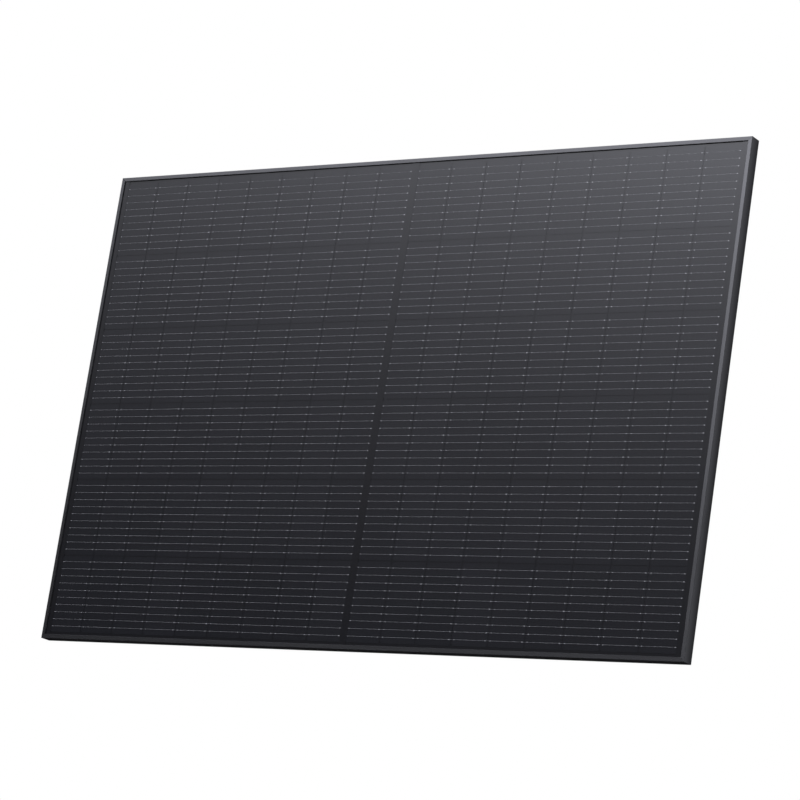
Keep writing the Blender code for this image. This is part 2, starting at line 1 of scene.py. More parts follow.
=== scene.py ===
"""Looks of the framed solar module: surfaces, cells, wires, rear boxes, studio light and camera.

All sizes are in metres, in the module's own frame: X along the long side, Z up the short side, the
glass towards -Y, and the origin at the centre of the rear mounting plane. Depths are counted from
the frame's front face towards the rear.
"""

import math
import random

import bmesh
import bpy
from mathutils import Matrix, Vector


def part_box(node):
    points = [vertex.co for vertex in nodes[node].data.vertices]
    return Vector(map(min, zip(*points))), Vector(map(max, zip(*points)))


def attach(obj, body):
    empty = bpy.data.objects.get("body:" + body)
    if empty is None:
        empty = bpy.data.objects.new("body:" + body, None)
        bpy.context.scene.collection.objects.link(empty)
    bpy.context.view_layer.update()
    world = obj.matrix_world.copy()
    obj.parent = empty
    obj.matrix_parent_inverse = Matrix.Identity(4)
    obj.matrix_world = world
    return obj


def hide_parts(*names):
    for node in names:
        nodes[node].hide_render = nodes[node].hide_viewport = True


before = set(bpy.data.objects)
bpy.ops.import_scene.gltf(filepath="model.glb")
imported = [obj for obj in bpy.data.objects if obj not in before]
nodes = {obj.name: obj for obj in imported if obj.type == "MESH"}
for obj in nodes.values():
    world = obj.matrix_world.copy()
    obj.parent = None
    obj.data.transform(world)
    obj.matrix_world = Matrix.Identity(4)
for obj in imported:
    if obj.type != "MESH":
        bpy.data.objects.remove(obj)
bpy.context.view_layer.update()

# Frame and laminate
MODULE_DEPTH = 0.030
FLANGE_THICKNESS = 0.0015
GLASS_SKIN = 0.00012
CELL_THICKNESS = 0.0002
FILM_THICKNESS = 0.0003
RIBBON_THICKNESS = 0.00016
MASK_DEPTH = 0.00004
MASK_THICKNESS = 0.00005
MASK_OVERLAP = 0.0025

# Cells
CELL_ROWS = 6
CELLS_PER_STRING = 9
CELL_SIDE = 0.182
HALF_CELL = CELL_SIDE / 2
CELL_PITCH = 0.0928
ROW_PITCH = 0.184
FIRST_CELL = 0.00675
STRING_LENGTH = (CELLS_PER_STRING - 1) * CELL_PITCH + HALF_CELL
CELL_CORNER = 0.0055
CELL_SEED = 4
FINGER_PITCH = 0.0012
FINGER_SHARE = 0.05

# Wires and solder pads
WIRES_PER_CELL = 10
WIRE_PITCH = 0.01712
WIRE_WIDTH = 0.00048
WIRE_THICKNESS = 0.00018
WIRE_SIDES = 6
WIRE_START = 0.0014
WIRE_TUCK = 0.004
END_RIBBON_INNER = 0.847575
RIBBON_OVERLAP = 0.003
PAD_THICKNESS = 0.00003
PAD_INSET = 0.0056
LEFT_PAD = (0.0024, 0.0013)
RIGHT_PAD = (0.0028, 0.0015)
MIDDLE_PAD = (0.0011, 0.0008)
MIDDLE_PADS = 4

# Print of the cells and ribbons in the backsheet, and its holes for the leads
RELIEF = 0.00022
RELIEF_SLOPE = 0.0008
LEAD_SPACING = 0.008
LEAD_HOLE = (0.008, 0.003)

# Junction boxes
BOXES = ("top", "middle", "bottom")
BOX_CORNER = 0.006
BOX_EDGE = 0.0005
EDGE_STEPS = 3
CREASE = math.radians(38.0)
WELD_DISTANCE = 0.00001
CORNER_STEPS = 6

# Squeezed-out bead under each box
BEAD_OUTER = 0.0009
BEAD_INNER = 0.0045
BEAD_WAVE = 0.0004
BEAD_WAVE_COUNTS = (3, 7, 12)
BEAD_SEED = 9
BEAD_STEP = 0.0035
BEAD_SINK = 0.0002
BEAD_FOOT = 0.0003
BEAD_SHOULDER = 0.0004

# Latches, whose profile is (outwards from the lid's side, above its top)
LATCH_PLACES = (-0.0150, 0.0150)
LATCH_WIDTH = 0.0075
LATCH_CROWN = 0.0004
LATCH_END_SHARE = 0.86
LATCH_PROFILE = (
    (-0.0010, -0.0095),
    (0.0004, -0.0095),
    (0.0014, -0.0082),
    (0.0014, -0.0006),
    (0.0008, 0.0006),
    (-0.0012, 0.0006),
    (-0.0016, 0.0001),
    (-0.0010, -0.0001),
)

# Rim of the lid, whose profile is (share of its half width, above the lid's top)
DETAIL_SINK = 0.0002
RIM_INSET = 0.0040
RIM_CORNER = 0.0040
RIM_HALF_WIDTH = 0.00055
RIM_RISE = 0.0005
RIM_PROFILE = (
    (-1.0, -DETAIL_SINK),
    (1.0, -DETAIL_SINK),
    (0.8, 0.7 * RIM_RISE),
    (0.4, RIM_RISE),
    (-0.4, RIM_RISE),
    (-0.8, 0.7 * RIM_RISE),
)

# Ribs on the lid, whose profile is (drawn in, above the lid's top)
RIB_PLACES = (-0.0185, -0.0150, -0.0115, -0.0080, -0.0045)
RIB_LENGTH = 0.026
RIB_CORNER = 0.98 * RIM_HALF_WIDTH
RIB_PROFILE = ((0.0, -DETAIL_SINK), (0.0, 0.5 * RIM_RISE), (0.00015, RIM_RISE))

# Vent disc, whose profile is (above the lid's top, radius, depth of flutes)
VENT_PLACE = 0.0130
VENT_PROFILE = (
    (-DETAIL_SINK, 0.0052, 0.0),
    (0.0004, 0.0052, 0.0),
    (0.0006, 0.0049, 0.0),
    (0.0006, 0.0043, 0.0),
    (0.0003, 0.0040, 0.0),
    (0.0003, 0.0018, 0.0),
    (0.0006, 0.0015, 0.0),
    (0.0006, 0.0004, 0.0),
)

# Cable glands, whose profiles are (along the axis, radius, depth of flutes). The root and the bore are
# counted from the box, and the nose from its open end.
TURNED_STEPS = 72
GLAND_FLUTES = 18
FLUTE_SHARPNESS = 3
GLAND_AXIS = 0.0172
GLAND_ROOT = (
    (0.0, 0.0060, 0.0),
    (0.0004, 0.0064, 0.0),
    (0.0030, 0.0064, 0.0),
    (0.0032, 0.0060, 0.0),
    (0.0036, 0.0060, 0.0),
    (0.0037, 0.0064, 0.0),
    (0.0044, 0.0070, 0.0004),
)
GLAND_NOSE = (
    (-0.0056, 0.0070, 0.0004),
    (-0.0044, 0.0062, 0.0),
    (-0.0042, 0.0052, 0.0),
    (-0.0008, 0.0050, 0.0),
    (-0.0002, 0.0047, 0.0),
    (0.0, 0.0043, 0.0),
    (0.0, 0.0037, 0.0),
    (-0.0006, 0.0033, 0.0),
    (-0.0026, 0.0033, 0.0),
    (-0.0028, 0.0037, 0.0),
)
GLAND_BORE = ((0.0064, 0.0037, 0.0), (0.0062, 0.0048, 0.0), (0.0, 0.0048, 0.0))

# Camera, on the photograph's line of sight
CAMERA_PLACE = Vector((4.1916, -5.7256, -1.7014))
CAMERA_AZIMUTH = math.radians(35.98)
CAMERA_ELEVATION = math.radians(-13.57)
CAMERA_ROLL = math.radians(-8.76)
CAMERA_LENS = 147.34
CAMERA_SENSOR = 36.0

# Noise mostly lies between these values
NOISE_LOW = 0.3
NOISE_HIGH = 0.7
FINE_DETAIL = 3.0
CLOUD_DETAIL = 4.0

# Black anodising with die lines along the rail. Each rail's tone factor is painted light and shade: lighter
# on the top and right rails, darker on the left
ANODISED = (0.088, 0.088, 0.090)
ANODISED_SHARES = (0.95, 1.05)
ANODISED_ROUGHNESS = (0.22, 0.28)
ANODISED_CLOUD = 30.0
CLOUD_STRETCH = 4.0
DIE_LINES = 2200.0
DIE_LINE_STRETCH = 400.0
DIE_LINE_RELIEF = 0.000002
LONG_RAIL_PAINTED_LIGHT = (("top", 1.10), ("bottom", 0.97))
SHORT_RAIL_PAINTED_LIGHT = (("left", 0.90), ("right", 1.25))
# Painted shade: share of black blended into the short rails' walls at their rear
WALL_PAINTED_SHADE = 0.95

# Glass and clear film, and the gloss of the glass over what lies under it
SHEEN_ROUGHNESS = 0.11
SHEEN_IOR = 1.58
CLEAR_ALPHA = 0.02
GLASS_TONE = (0.03, 0.031, 0.034)
GLASS_IOR = 1.5
GLASS_ROUGHNESS = (0.105, 0.115)
GLASS_CLOUD = 7.0
GLASS_GRAIN = 900.0
GLASS_RELIEF = 0.000001
CLEAR_FILM_TONE = (0.02, 0.02, 0.022)
CLEAR_FILM_ROUGHNESS = (0.35, 0.45)
CLEAR_FILM_CLOUD = 60.0

# Cells, with their printed fingers
CELL_TONES = ((0.0070, 0.0073, 0.0092), (0.0090, 0.0093, 0.0115))
CELL_CLOUD = 25.0
CELL_CLOUD_RANGE = (-0.2, 0.2)
FINGER_TONE = (0.020, 0.020, 0.022)

# Tinned copper
WIRE_TONE = (0.096, 0.096, 0.101)
PAD_TONE = (0.34, 0.34, 0.345)
RIBBON_TONE = (0.45, 0.44, 0.42)
TERMINAL_TONE = (0.55, 0.54, 0.52)
SOLDER_ROUGHNESS = 0.42
SOLDER_METALLIC = 0.8
RIBBON_ROUGHNESS = 0.40
TERMINAL_ROUGHNESS = 0.35
TIN_BRIGHTENING = 1.15
TIN_CLOUD = 400.0
TIN_GRAIN = 900.0
TIN_ROUGHNESS_SPREAD = 0.06

# Black films, silicone and backsheet
FILM_TONES = ((0.0050, 0.0050, 0.0062), (0.0062, 0.0062, 0.0076))
FILM_CLOUD = 120.0
BLACK_RIBBON_TONES = ((0.003, 0.003, 0.004), (0.005, 0.005, 0.006))
BLACK_RIBBON_CLOUD = 150.0
SILICONE_TONES = ((0.008, 0.008, 0.009), (0.013, 0.013, 0.014))
SILICONE_ROUGHNESS = (0.50, 0.62)
SILICONE_IOR = 1.4
SILICONE_CLOUD = 200.0
SILICONE_SHEEN_GRAIN = 500.0
SILICONE_GRAIN = 1200.0
SILICONE_RELIEF = 0.00003
BACKSHEET_TONES = ((0.0172, 0.0172, 0.0181), (0.0188, 0.0188, 0.0197))
BACKSHEET_ROUGHNESS = (0.44, 0.58)
BACKSHEET_IOR = 1.45
BACKSHEET_CLOUD = 6.0
BACKSHEET_PEBBLE = 650.0
BACKSHEET_RELIEF = 0.00004

# Moulded plastics, each as tone, range of roughness, grain and relief
BOX_PLASTIC = (0.014, (0.42, 0.56), 2200.0, 0.00003)
GLAND_PLASTIC = (0.016, (0.32, 0.42), 1500.0, 0.00001)
POTTING = (0.06, (0.28, 0.36), 300.0, 0.00002)
EPOXY = (0.020, (0.25, 0.40), 900.0, 0.00001)
PLASTIC_IOR = 1.48
PLASTIC_CLOUD = 90.0
PLASTIC_SHARES = (0.85, 1.2)

# Bare aluminium
MILL_TONES = ((0.56, 0.57, 0.58), (0.66, 0.67, 0.68))
MILL_ROUGHNESS = (0.30, 0.45)
MILL_STREAKS = 700.0
MILL_STRETCH = (1.0, 30.0, 1.0)

# Studio. Each light has its direction, its radius in degrees, the step in degrees over which it halves
# outside that radius, and its strength.
FLOOR_HEIGHT = -2.6
FLOOR_SIZE = 60.0
FLOOR_SQUARES = 8
FLOOR_TONES = ((0.415, 0.41, 0.375), (0.43, 0.425, 0.39))
FLOOR_ROUGHNESS = 0.7
FLOOR_CLOUD = 3.0
LIGHT_COLOUR = (0.90, 0.912, 1.0)
AMBIENT = 0.013
LIGHTS = {
    "overhead": ((-0.194, -0.391, 0.900), 43.66, 2.26, 4.10),
    "rear_right": ((0.60, 0.60, 0.52), 27.0, 10.0, 0.42),
    "rear_top": ((-0.08, 0.46, 0.884), 20.0, 3.0, 16.5),
    "rear_low": ((0.62, 0.66, -0.42), 14.0, 5.0, 0.5),
    "front_low": ((-0.45, -0.62, -0.64), 20.0, 5.0, 0.45),
    "front_wall": ((0.20, -0.95, -0.20), 15.0, 5.0, 0.3),
    "right_wall": ((0.98, -0.10, -0.08), 14.0, 5.0, 0.4),
}
WHITE = (1.0, 1.0, 1.0)
BLACK = (0.0, 0.0, 0.0)

# Refraction lifts the cells towards the glass's front, so they are drawn close behind it
GLASS_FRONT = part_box("front_glass")[0][1] + MODULE_DEPTH
CELL_FRONT = GLASS_FRONT + GLASS_SKIN + WIRE_THICKNESS
RIBBON_FRONT = CELL_FRONT + CELL_THICKNESS + WIRE_THICKNESS
FILM_FRONT = RIBBON_FRONT + RIBBON_THICKNESS


def depth_to_y(depth):
    """Y of a depth counted from the frame's front face."""
    return depth - MODULE_DEPTH


# ---------------------------------------------------------------- materials

class Surface:
    """A Principled material, and short calls for the pattern nodes behind it."""

    def __init__(self, name, colour, roughness, metallic=0.0, **sockets):
        self.material = bpy.data.materials.new(name)
        self.material.use_nodes = True
        self.tree = self.material.node_tree
        self.shader = self.tree.nodes["Principled BSDF"]
        self.shader.inputs["Base Color"].default_value = (*colour, 1.0)
        self.shader.inputs["Roughness"].default_value = roughness
        self.shader.inputs["Metallic"].default_value = metallic
        for socket, value in sockets.items():
            self.shader.inputs[socket.replace("_", " ")].default_value = value
        self.place = self.add("ShaderNodeTexCoord").outputs["Object"]

    def add(self, kind, **settings):
        """New node with its settings."""
        made = self.tree.nodes.new(kind)
        for setting, value in settings.items():
            setattr(made, setting, value)
        return made

    def put(self, socket, source):
        """Feed a socket from another socket, or set its plain value."""
        if isinstance(source, bpy.types.NodeSocket):
            self.tree.links.new(source, socket)
        else:
            socket.default_value = source

    def maths(self, operation, first, second=0.0):
        """One step of arithmetic."""
        made = self.add("ShaderNodeMath", operation=operation)
        self.put(made.inputs[0], first)
        self.put(made.inputs[1], second)
        return made.outputs[0]

    def noise(self, scale, detail=2.0, stretch=(1.0, 1.0, 1.0)):
        """Soft noise, with its waves per metre and how far it is drawn out along each axis."""
        scaled = self.add("ShaderNodeVectorMath", operation="MULTIPLY")
        self.put(scaled.inputs[0], self.place)
        self.put(scaled.inputs[1], tuple(1.0 / side for side in stretch))
        made = self.add("ShaderNodeTexNoise")
        self.put(made.inputs["Vector"], scaled.outputs[0])
        self.put(made.inputs["Scale"], scale)
        self.put(made.inputs["Detail"], detail)
        return made.outputs["Fac"]

    def spread(self, factor, low, high):
        """Stretch noise onto low to high."""
        made = self.add("ShaderNodeMapRange")
        self.put(made.inputs["Value"], factor)
        self.put(made.inputs["From Min"], NOISE_LOW)
        self.put(made.inputs["From Max"], NOISE_HIGH)
        self.put(made.inputs["To Min"], low)
        self.put(made.inputs["To Max"], high)
        return made.outputs["Result"]

    def blend(self, factor, first, second):
        """Mix of two colours, each a plain colour or a socket."""
        made = self.add("ShaderNodeMix", data_type="RGBA")
        self.put(made.inputs[0], factor)
        ends = [socket for socket in made.inputs if socket.type == "RGBA"]
        for end, colour in zip(ends, (first, second)):
            self.put(end, (*colour, 1.0) if isinstance(colour, tuple) else colour)
        return next(socket for socket in made.outputs if socket.type == "RGBA")

    def mottle(self, cloud, tones):
        """Base colour that drifts between two tones."""
        self.colour(self.blend(self.spread(cloud, 0.0, 1.0), *tones))

    def colour(self, source):
        """Feed the base colour."""
        self.put(self.shader.inputs["Base Color"], source)

    def roughness(self, source):
        """Feed the roughness."""
        self.put(self.shader.inputs["Roughness"], source)

    def bump(self, height, distance):
        """Fine relief from a height of 0 to 1."""
        made = self.add("ShaderNodeBump")
        self.put(made.inputs["Height"], height)
        self.put(made.inputs["Distance"], distance)
        self.put(self.shader.inputs["Normal"], made.outputs["Normal"])


def scaled(colour, share):
    """A colour made darker or lighter."""
    return tuple(share * side for side in colour)


def along_grain(grain, stretch):
    """Stretch of noise that is drawn out along one axis."""
    return tuple(stretch if axis == grain else 1.0 for axis in "XYZ")


def anodised(name, grain, tone, painted_shade=0.0):
    """Black anodised aluminium, with die lines along an axis, and painted shade that darkens the wall
    towards the rear.
    """
    # tone is the rail's factor of painted light and shade
    tones = [scaled(ANODISED, tone * share) for share in ANODISED_SHARES]
    made = Surface(name, tones[0], ANODISED_ROUGHNESS[0], metallic=1.0)
    cloud = made.noise(ANODISED_CLOUD, stretch=along_grain(grain, CLOUD_STRETCH))
    base = made.blend(made.spread(cloud, 0.0, 1.0), *tones)
    # Painted shade: the wall darkens towards the rear, blended to black by depth
    if painted_shade:
        across = made.add("ShaderNodeSeparateXYZ")
        made.put(across.inputs[0], made.place)
        depth = made.maths("ADD", across.outputs["Y"], MODULE_DEPTH)
        wall = made.maths("LESS_THAN", depth, MODULE_DEPTH - FLANGE_THICKNESS)
        share = made.maths("MULTIPLY", made.maths("DIVIDE", depth, MODULE_DEPTH / painted_shade), wall)
        base = made.blend(share, base, BLACK)
    made.colour(base)
    lines = made.noise(DIE_LINES, stretch=along_grain(grain, DIE_LINE_STRETCH))
    made.roughness(made.spread(lines, *ANODISED_ROUGHNESS))
    made.bump(lines, DIE_LINE_RELIEF)
    return made


def clear(name, tone, roughness, cloud, **sockets):
    """Nearly clear layer without a gloss of its own, which the layers under it carry."""
    made = Surface(name, tone, roughness[0], Alpha=CLEAR_ALPHA, Specular_IOR_Level=0.0, **sockets)
    made.roughness(made.spread(made.noise(cloud), *roughness))
    return made


def textured_glass():
    """Tempered solar glass with a matt, lightly rolled front."""
    made = clear("solar_glass", GLASS_TONE, GLASS_ROUGHNESS, GLASS_CLOUD, IOR=GLASS_IOR)
    made.bump(made.noise(GLASS_GRAIN), GLASS_RELIEF)
    return made


def clear_film():
    """Cured encapsulant in front of the cells, which hardly shows."""
    return clear("clear_encapsulant", CLEAR_FILM_TONE, CLEAR_FILM_ROUGHNESS, CLEAR_FILM_CLOUD)


def under_glass(name, tones, cloud):
    """Black layer that carries the gloss of the glass over it."""
    made = Surface(name, tones[0], SHEEN_ROUGHNESS, IOR=SHEEN_IOR)
    made.mottle(made.noise(cloud), tones)
    return made


def silicon():
    """Dark monocrystalline cells, each a slightly different tone, with printed silver fingers."""
    made = Surface("silicon_cell", CELL_TONES[0], SHEEN_ROUGHNESS, IOR=SHEEN_IOR)
    tone = made.add("ShaderNodeAttribute", attribute_name="tone").outputs["Fac"]
    cloud = made.maths("ADD", tone, made.spread(made.noise(CELL_CLOUD), *CELL_CLOUD_RANGE))
    across = made.add("ShaderNodeSeparateXYZ")
    made.put(across.inputs[0], made.place)
    phase = made.maths("FRACT", made.maths("DIVIDE", across.outputs["X"], FINGER_PITCH))
    finger = made.maths("LESS_THAN", phase, FINGER_SHARE)
    made.colour(made.blend(finger, made.blend(cloud, *CELL_TONES), FINGER_TONE))
    return made


def tinned(name, colour, roughness, metallic=1.0):
    """Tinned copper under the gloss of the glass."""
    coat = {"Coat_Weight": 1.0, "Coat_Roughness": SHEEN_ROUGHNESS, "Coat_IOR": SHEEN_IOR}
    made = Surface(name, colour, roughness, metallic, **coat)
    made.mottle(made.noise(TIN_CLOUD), (colour, scaled(colour, TIN_BRIGHTENING)))
    low, high = roughness - TIN_ROUGHNESS_SPREAD, roughness + TIN_ROUGHNESS_SPREAD
    made.roughness(made.spread(made.noise(TIN_GRAIN), low, high))
    return made


def silicone():
    """Black silicone of the edge seal and under the boxes."""
    made = Surface("black_silicone", SILICONE_TONES[0], SILICONE_ROUGHNESS[0], IOR=SILICONE_IOR)
    made.mottle(made.noise(SILICONE_CLOUD), SILICONE_TONES)
    made.roughness(made.spread(made.noise(SILICONE_SHEEN_GRAIN), *SILICONE_ROUGHNESS))
    made.bump(made.noise(SILICONE_GRAIN), SILICONE_RELIEF)
    return made


def pebbled_film():
    """Matt black backsheet with a fine pebble."""
    made = Surface("pebbled_backsheet", BACKSHEET_TONES[0], BACKSHEET_ROUGHNESS[0], IOR=BACKSHEET_IOR)
    made.mottle(made.noise(BACKSHEET_CLOUD, detail=CLOUD_DETAIL), BACKSHEET_TONES)
    pebble = made.noise(BACKSHEET_PEBBLE, detail=FINE_DETAIL)
    made.roughness(made.spread(pebble, *BACKSHEET_ROUGHNESS))
    made.bump(pebble, BACKSHEET_RELIEF)
    return made


def moulded(name, plastic):
    """Black moulded plastic with a spark-eroded grain."""
    tone, roughness, grain, relief = plastic
    tones = [(tone * share,) * 3 for share in PLASTIC_SHARES]
    made = Surface(name, tones[0], roughness[0], IOR=PLASTIC_IOR)
    made.mottle(made.noise(PLASTIC_CLOUD), tones)
    spark = made.noise(grain, detail=FINE_DETAIL)
    made.roughness(made.spread(spark, *roughness))
    made.bump(spark, relief)
    return made


def mill_aluminium():
    """Bare extruded aluminium of the corner keys."""
    made = Surface("mill_aluminium", MILL_TONES[0], MILL_ROUGHNESS[0], metallic=1.0)
    streak = made.noise(MILL_STREAKS, stretch=MILL_STRETCH)
    made.mottle(streak, MILL_TONES)
    made.roughness(made.spread(streak, *MILL_ROUGHNESS))
    return made


# ---------------------------------------------------------------- mesh building

def dress(surface, *words):
    """Give a finished material to the CAD nodes whose names begin with one of the words."""
    for name in (name for name in nodes if name.startswith(words)):
        for slot in nodes[name].material_slots:
            slot.material = surface.material


def make_piece(name, mesh_builder, surfaces, replaced=(), rounded=False):
    """Turn a bmesh into a piece of the module that rides on its one body."""
    bmesh.ops.recalc_face_normals(mesh_builder, faces=mesh_builder.faces)
    mesh = bpy.data.meshes.new(name)
    mesh_builder.to_mesh(mesh)
    mesh_builder.free()
    for surface in surfaces:
        mesh.materials.append(surface.material)
    piece = bpy.data.objects.new(name, mesh)
    bpy.context.scene.collection.objects.link(piece)
    if rounded:
        mesh.shade_smooth()
        mesh.set_sharp_from_angle(angle=CREASE)
    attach(piece, "root")
    if replaced:
        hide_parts(*replaced)


def skin(mesh_builder, rings, cyclic=False, material=0):
    """Skin rings of equal point count, and cap the ends of an open row of rings."""
    rows = [[mesh_builder.verts.new(point) for point in ring] for ring in rings]
    pairs = list(zip(rows, rows[1:]))
    if cyclic:
        pairs.append((rows[-1], rows[0]))
    faces = []
    for low, high in pairs:
        for here, after in zip(range(len(low)), list(range(1, len(low))) + [0]):
            faces.append(mesh_builder.faces.new((low[here], low[after], high[after], high[here])))
    if not cyclic:
        faces.append(mesh_builder.faces.new(rows[0][::-1]))
        faces.append(mesh_builder.faces.new(rows[-1]))
    for face in faces:
        face.material_index = material
    return faces


# ---------------------------------------------------------------- cells and wires

def row_centre(row):
    """Height of a cell row's centre line, row 1 at the top."""
    return ((CELL_ROWS + 1) / 2 - row) * ROW_PITCH


def cell_outline(left, centre):
    """Half cell whose two left corners keep the full cell's cut corners."""
    right = left + HALF_CELL
    low = centre - CELL_SIDE / 2
    high = centre + CELL_SIDE / 2
    return [
        (left + CELL_CORNER, low),
        (right, low),
        (right, high),
        (left + CELL_CORNER, high),
        (left, high - CELL_CORNER),
        (left, low + CELL_CORNER),
    ]


def make_cells(string_left, centre, draw):
    """Nine half cells of one string, each with its own tone."""
    made = bmesh.new()
    tone = made.faces.layers.float.new("tone")
    front = depth_to_y(CELL_FRONT)
    for index in range(CELLS_PER_STRING):
        outline = cell_outline(string_left + index * CELL_PITCH, centre)
        rings = [[(x, y, z) for x, z in outline] for y in (front, front + CELL_THICKNESS)]
        shade = draw.random()
        for face in skin(made, rings):
            face[tone] = shade
    return made


def wire_ring(x, depth, height):
    """Flattened hexagonal section of a wire at a depth of its middle."""
    ring = []
    for side in range(WIRE_SIDES):
        angle = math.tau * side / WIRE_SIDES
        y = depth_to_y(depth) + WIRE_THICKNESS / 2 * math.sin(angle)
        ring.append((x, y, height + WIRE_WIDTH / 2 * math.cos(angle)))
    return ring


def add_pad(made, x, height, size):
    """Flat solder pad on a cell's front, under a wire."""
    start, end = x - size[0] / 2, x + size[0] / 2
    low, high = height - size[1] / 2, height + size[1] / 2
    outline = [(start, low), (end, low), (end, high), (start, high)]
    far = depth_to_y(CELL_FRONT)
    skin(made, [[(x, y, z) for x, z in outline] for y in (far - PAD_THICKNESS, far)], material=1)


def add_pads(made, left, height):
    """Pads of one wire on the half cell that starts at left."""
    add_pad(made, left + PAD_INSET, height, LEFT_PAD)
    add_pad(made, left + HALF_CELL - PAD_INSET, height, RIGHT_PAD)
    for number in range(MIDDLE_PADS):
        between = (number + 1) / (MIDDLE_PADS + 1)
        add_pad(made, left + PAD_INSET + (HALF_CELL - 2 * PAD_INSET) * between, height, MIDDLE_PAD)


def add_wire(made, height, route):
    """Wire along a route of (x, depth) points."""
    skin(made, [wire_ring(x, depth, height) for x, depth in route])


def make_wires(string_left, ribbon_left, ribbon_right, centre):
    """Ten wires that run over each cell's front and on behind the next cell, with their pads."""
    made = bmesh.new()
    over = CELL_FRONT - WIRE_THICKNESS / 2
    under = CELL_FRONT + CELL_THICKNESS + WIRE_THICKNESS / 2
    for wire in range(WIRES_PER_CELL):
        height = centre + (wire - (WIRES_PER_CELL - 1) / 2) * WIRE_PITCH
        add_wire(made, height, [(ribbon_left, under), (string_left + WIRE_TUCK, under)])
        for index in range(CELLS_PER_STRING):
            left = string_left + index * CELL_PITCH
            route = [(left + WIRE_START, over), (left + HALF_CELL, over)]
            if index < CELLS_PER_STRING - 1:
                following = left + CELL_PITCH
                route += [(following, under), (following + WIRE_TUCK, under)]
            else:
                route.append((ribbon_right, over))
            add_wire(made, height, route)
            add_pads(made, left, height)
    return made


def build_strings():
    """Cells and wires of the twelve strings."""
    cell = silicon()
    wire = tinned("wire_tin", WIRE_TONE, SOLDER_ROUGHNESS, SOLDER_METALLIC)
    solder = tinned("solder_pad", PAD_TONE, SOLDER_ROUGHNESS, SOLDER_METALLIC)
    draw = random.Random(CELL_SEED)
    for row in range(1, CELL_ROWS + 1):
        centre = row_centre(row)
        ends = (
            ("left", -FIRST_CELL - STRING_LENGTH, -END_RIBBON_INNER - RIBBON_OVERLAP, 0.0),
            ("right", FIRST_CELL, 0.0, END_RIBBON_INNER + RIBBON_OVERLAP),
        )
        for side, string_left, ribbon_left, ribbon_right in ends:
            node = f"cell_string_{row}_{side}"
            make_piece(f"cells_{row}_{side}", make_cells(string_left, centre, draw), [cell], [node])
            wires = make_wires(string_left, ribbon_left, ribbon_right, centre)
            make_piece(f"cell_wires_{row}_{side}", wires, [wire, solder])


def add_sheet(made, corner, opposite, front, thickness):
    """Flat sheet between two corners given as (x, z)."""
    (left, low), (right, high) = corner, opposite
    near = depth_to_y(front)
    outline = [(left, low), (right, low), (right, high), (left, high)]
    skin(made, [[(x, y, z) for x, z in outline] for y in (near, near + thickness)])


def build_film():
    """Black film behind the cells, the bus ribbons on it, and the black strips over the ribbons."""
    film = under_glass("black_encapsulant", FILM_TONES, FILM_CLOUD)
    ribbon = under_glass("black_ribbon", BLACK_RIBBON_TONES, BLACK_RIBBON_CLOUD)
    made = bmesh.new()
    (left, _, low), (right, _, high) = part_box("rear_encapsulant")
    add_sheet(made, (left, low), (right, high), FILM_FRONT, FILM_THICKNESS)
    make_piece("black_film", made, [film], ["rear_encapsulant"])
    made = bmesh.new()
    for name in sorted(nodes):
        if "ribbon" in name:
            start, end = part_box(name)
            add_sheet(made, (start[0], start[2]), (end[0], end[2]), RIBBON_FRONT, RIBBON_THICKNESS)
    make_piece("bus_ribbons", made, [ribbon])
    made = bmesh.new()
    covered = FIRST_CELL + MASK_OVERLAP
    strings_end = FIRST_CELL + STRING_LENGTH - MASK_OVERLAP
    for start, end in ((left, -strings_end), (-covered, covered), (strings_end, right)):
        add_sheet(made, (start, low), (end, high), GLASS_FRONT + MASK_DEPTH, MASK_THICKNESS)
    make_piece("ribbon_masks", made, [film])


def dress_front(sealant):
    """Materials of the CAD pieces that show from the front."""
    # Each rail's tone factor is painted light and shade, not a difference in the anodising
    for word, tone in LONG_RAIL_PAINTED_LIGHT:
        dress(anodised(f"anodised_{word}", "X", tone), f"frame_rail_{word}")
    for word, tone in SHORT_RAIL_PAINTED_LIGHT:
        dress(anodised(f"anodised_{word}", "Z", tone, WALL_PAINTED_SHADE), f"frame_rail_{word}")
    dress(textured_glass(), "front_glass")
    dress(clear_film(), "front_encapsulant")
    dress(sealant, "edge_sealant")
    dress(tinned("bus_ribbon_tin", RIBBON_TONE, RIBBON_ROUGHNESS), "end_ribbon", "centre_ribbon")


# ---------------------------------------------------------------- backsheet

def rise(value, spans):
    """1 within any of the spans, falling to 0 over the slope beside it."""
    slopes = [min(value - low, high - value) / RELIEF_SLOPE + 1.0 for low, high in spans]
    return max(0.0, min(1.0, max(slopes)))


def stations(low, high, spans, marks):
    """Grid lines from low to high that carry every slope and mark."""
    wanted = {low, high, *marks}
    for start, end in spans:
        wanted.update((start - RELIEF_SLOPE, start, end, end + RELIEF_SLOPE))
    return sorted(value for value in wanted if low <= value <= high)


def spans_of(names, axis):
    """Where each named CAD node starts and ends along an axis."""
    return sorted({(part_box(name)[0][axis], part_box(name)[1][axis]) for name in names})


def cell_spans():
    """Where the cells' columns and rows start and end."""
    columns = []
    for start in (-FIRST_CELL - STRING_LENGTH, FIRST_CELL):
        for index in range(CELLS_PER_STRING):
            columns.append((start + index * CELL_PITCH, start + index * CELL_PITCH + HALF_CELL))
    centres = [row_centre(row) for row in range(1, CELL_ROWS + 1)]
    return columns, [(centre - CELL_SIDE / 2, centre + CELL_SIDE / 2) for centre in centres]


def lead_holes():
    """Heights of the lead holes, two behind each box."""
    holes = []
    for word in BOXES:
        low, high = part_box(f"junction_box_lid_{word}")
        centre = (low[2] + high[2]) / 2
        holes += [centre - LEAD_SPACING, centre + LEAD_SPACING]
    return holes


